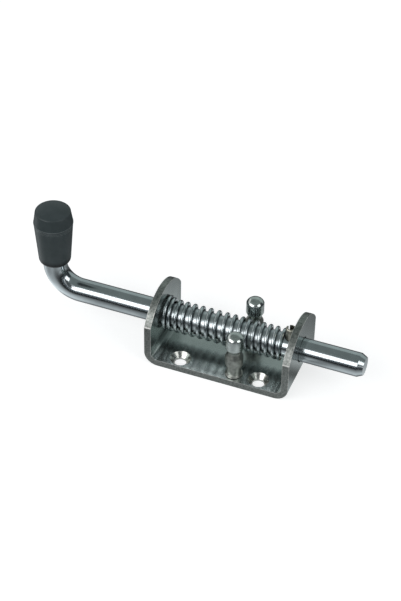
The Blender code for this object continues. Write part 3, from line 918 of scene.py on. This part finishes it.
studio = {
    "floorColour": (0.60, 0.61, 0.61), "floorSize": 12, "floorDrop": 0.15 * mm, "floorWhite": 0.66,
    "ambient": (0.40, 0.41, 0.42), "lampDistance": 1.3,
    # each lamp's place and the size that it shows from the part, in degrees
    "lamps": {
        "leftSoftbox": {"azimuth": -34, "elevation": 37, "width": 52, "height": 27, "level": 2.4},
        "rightSoftbox": {"azimuth": 72, "elevation": 34, "width": 30, "height": 28, "level": 2.2},
    },
    # each card's place, its turn round Z in degrees or that it lies flat, its width and height, and its grey
    "cards": {
        "backCard": ((0, 1.3, 0.78), 0, (3.2, 1.24), (0.43, 0.49, 0.48)),
        "backLowCard": ((0, 1.3, 0.08), 0, (3.2, 0.16), (0.34, 0.36, 0.365)),
        "roofCard": ((0, 0.15, 1.4), "lying", (3.2, 2.3), (0.205, 0.235, 0.23)),
        "frontLowCard": ((0, -1.25, 0.08), 0, (3.2, 0.16), (0.04, 0.05, 0.05)),
        "frontCard": ((0, -1.25, 0.30), 0, (3.2, 0.26), (0.09, 0.11, 0.13)),
        "rightCard": ((1.45, 0, 0.70), 90, (2.5, 1.39), (0.04, 0.05, 0.055)),
        "leftCard": ((-1.45, 0, 0.27), 90, (2.4, 0.54), (0.10, 0.115, 0.12)),
        "gapCard": ((0.45, -1.06, 0.92), 23, (1.15, 0.96), (0.10, 0.11, 0.115)),
    },
    # what polished metal sees of the table, painted into the card's glow: dark close under the bar, bright
    # beside it, darker far out, darker before the plate's front edge and brighter under the handle and the
    # tip; the dark parts are painted shadow, the bright ones painted light
    "table": {"size": 3.2, "drop": 0.08 * mm, "near": 14 * mm, "nearLevel": 0.12, "fade": 35 * mm,
              "bright": 0.95, "far": 0.02, "behind": 0.65, "frontNear": 18 * mm, "frontLevel": 0.4,
              "handle": -98 * mm, "tip": 66 * mm, "endReach": 22 * mm, "handleGain": 1.8, "tipGain": 1.4,
              "earShade": 10.0, "tint": (0.95, 1.0, 1.02)},
}


def seenRays(tree):
    # one where the camera, a reflection or a view through glass looks
    path = addNode(tree, "ShaderNodeLightPath")
    seen = calculate(tree, "MAXIMUM", path.outputs["Is Camera Ray"], path.outputs["Is Glossy Ray"])
    return calculate(tree, "MAXIMUM", seen, path.outputs["Is Transmission Ray"])


def makeWorld():
    world = bpy.data.worlds.new("studioWorld")
    bpy.context.scene.world = world
    world.use_nodes = True
    tree = world.node_tree
    tree.nodes.clear()
    plain, white = (addNode(tree, "ShaderNodeBackground", {"Color": opaque(colour), "Strength": 1.0})
                    for colour in (studio["ambient"], (1, 1, 1)))
    mixed = addNode(tree, "ShaderNodeMixShader", {0: seenRays(tree), 1: plain.outputs[0], 2: white.outputs[0]})
    connectOutput(tree, mixed, "ShaderNodeOutputWorld")


def makeFloor():
    clearSelection()
    bpy.ops.mesh.primitive_plane_add(size=studio["floorSize"], location=(0, 0, -studio["floorDrop"]))
    floor = bpy.context.object
    floor.name = "paleFloor"
    material, tree = newMaterial("palePaper")
    paper = addNode(tree, "ShaderNodeBsdfDiffuse", {"Color": opaque(studio["floorColour"])})
    glow = addNode(tree, "ShaderNodeEmission", {
        "Color": (1, 1, 1, 1), "Strength": times(tree, seenRays(tree), studio["floorWhite"])})
    connectOutput(tree, addNode(tree, "ShaderNodeAddShader", {0: paper.outputs[0], 1: glow.outputs[0]}))
    material.cycles.emission_sampling = "NONE"
    floor.data.materials.append(material)


def reflectedPlane(name, place, extent):
    # a stage piece that shows in polished metal alone, with a glow that is set by its nodes
    clearSelection()
    bpy.ops.mesh.primitive_plane_add(size=1, location=place)
    piece = bpy.context.object
    piece.name = name
    piece.scale = (*extent, 1)
    material, tree = newMaterial(name + "Paint")
    material.cycles.emission_sampling = "NONE"
    piece.data.materials.append(material)
    piece.visible_camera = piece.visible_diffuse = piece.visible_shadow = False
    piece.visible_transmission = piece.visible_volume_scatter = False
    return piece, tree


def addGlow(tree, colour, strength=1.0):
    connectOutput(tree, addNode(tree, "ShaderNodeEmission", {"Color": opaque(colour), "Strength": strength}))


def makeCards():
    for name, (place, turn, extent, grey) in studio["cards"].items():
        piece, tree = reflectedPlane(name, place, extent)
        if turn != "lying":
            piece.rotation_euler = (math.pi / 2, 0, math.radians(turn))
        addGlow(tree, grey)


def makeTableCard():
    t = studio["table"]
    piece, tree = reflectedPlane("tableCard", (0, 0, -t["drop"]), (t["size"], t["size"]))
    makeActive(piece)
    bpy.ops.object.transform_apply(location=False, rotation=False, scale=True)
    x, y = splitVector(tree, addNode(tree, "ShaderNodeTexCoord").outputs["Object"])[:2]
    barHalf, barMiddle = (rod["tipX"] - handleX) / 2, (rod["tipX"] + handleX) / 2

    def pastEnd(value, end):
        return positive(tree, calculate(tree, "SUBTRACT", absolute(tree, value), end))

    alongBar = pastEnd(calculate(tree, "SUBTRACT", x, barMiddle), barHalf)
    near = ramp(tree, distanceTo(tree, alongBar, y), 0.0, t["near"], t["nearLevel"], 1.0, smooth=True)
    pastEars, pastSides = pastEnd(x, bracket["length"] / 2), pastEnd(y, bracket["width"] / 2)
    frontEdge = distanceTo(tree, pastEars, add(tree, y, bracket["width"] / 2))
    front = ramp(tree, frontEdge, 0.0, t["frontNear"], t["frontLevel"], 1.0)
    ends = [ramp(tree, absolute(tree, calculate(tree, "SUBTRACT", x, t[end])), 0.0, t["endReach"],
                 t[end + "Gain"], 1.0) for end in ("handle", "tip")]
    # painted shadow under the bar and before the plate's front edge, painted light under the handle and the
    # tip
    shaded = times(tree, near, times(tree, front, calculate(tree, "MAXIMUM", *ends)))
    pastBracket = add(tree, pastSides, times(tree, pastEars, t["earShade"]))
    away = calculate(tree, "MINIMUM", absolute(tree, y), pastBracket)
    fading = calculate(tree, "EXPONENT", calculate(tree, "DIVIDE", away, -t["fade"]))
    side = ramp(tree, y, 0.0, bracket["width"] / 2, t["bright"], t["bright"] * t["behind"])
    addGlow(tree, t["tint"], add(tree, times(tree, shaded, fading, side), t["far"]))


def makeLamps():
    for name, lamp in studio["lamps"].items():
        place = towards(lamp["azimuth"], lamp["elevation"], studio["lampDistance"])
        light = bpy.data.lights.new(name, "AREA")
        light.shape = "RECTANGLE"
        light.size, light.size_y = (2 * studio["lampDistance"] * math.tan(math.radians(lamp[side] / 2))
                                    for side in ("width", "height"))
        light.energy = lamp["level"] * math.pi * light.size * light.size_y
        holder = bpy.data.objects.new(name, light)
        holder.location = place
        holder.rotation_euler = place.to_track_quat("Z", "Y").to_euler()
        holder.visible_camera = False
        bpy.context.collection.objects.link(holder)


# camera: fitted to edge points of the photograph, in degrees, metres and millimetres of lens
view = {
    "azimuth": 20.726, "elevation": 40.373, "roll": 1.124, "lens": 106.47, "sensor": 36,
    "place": (0.218456, -0.619217, 0.594284), "clip": (0.01, 50),
}


def makeCamera():
    a, r = math.radians(view["azimuth"]), math.radians(view["roll"])
    back = towards(view["azimuth"], view["elevation"])
    level = Vector((math.cos(a), math.sin(a), 0))
    upright = back.cross(level)
    right = math.cos(r) * level + math.sin(r) * upright
    up = -math.sin(r) * level + math.cos(r) * upright
    camera = bpy.data.cameras.new("photoCamera")
    camera.lens = view["lens"]
    camera.sensor_width = view["sensor"]
    camera.clip_start, camera.clip_end = view["clip"]
    holder = bpy.data.objects.new("photoCamera", camera)
    turn = Matrix((right, up, back)).transposed().to_4x4()
    holder.matrix_world = Matrix.Translation(view["place"]) @ turn
    bpy.context.collection.objects.link(holder)
    bpy.context.scene.camera = holder


makeWorld()
makeFloor()
makeCards()
makeTableCard()
makeLamps()
makeCamera()
bpy.context.scene.view_settings.view_transform = "Standard"
clearSelection()
print("studio ready")
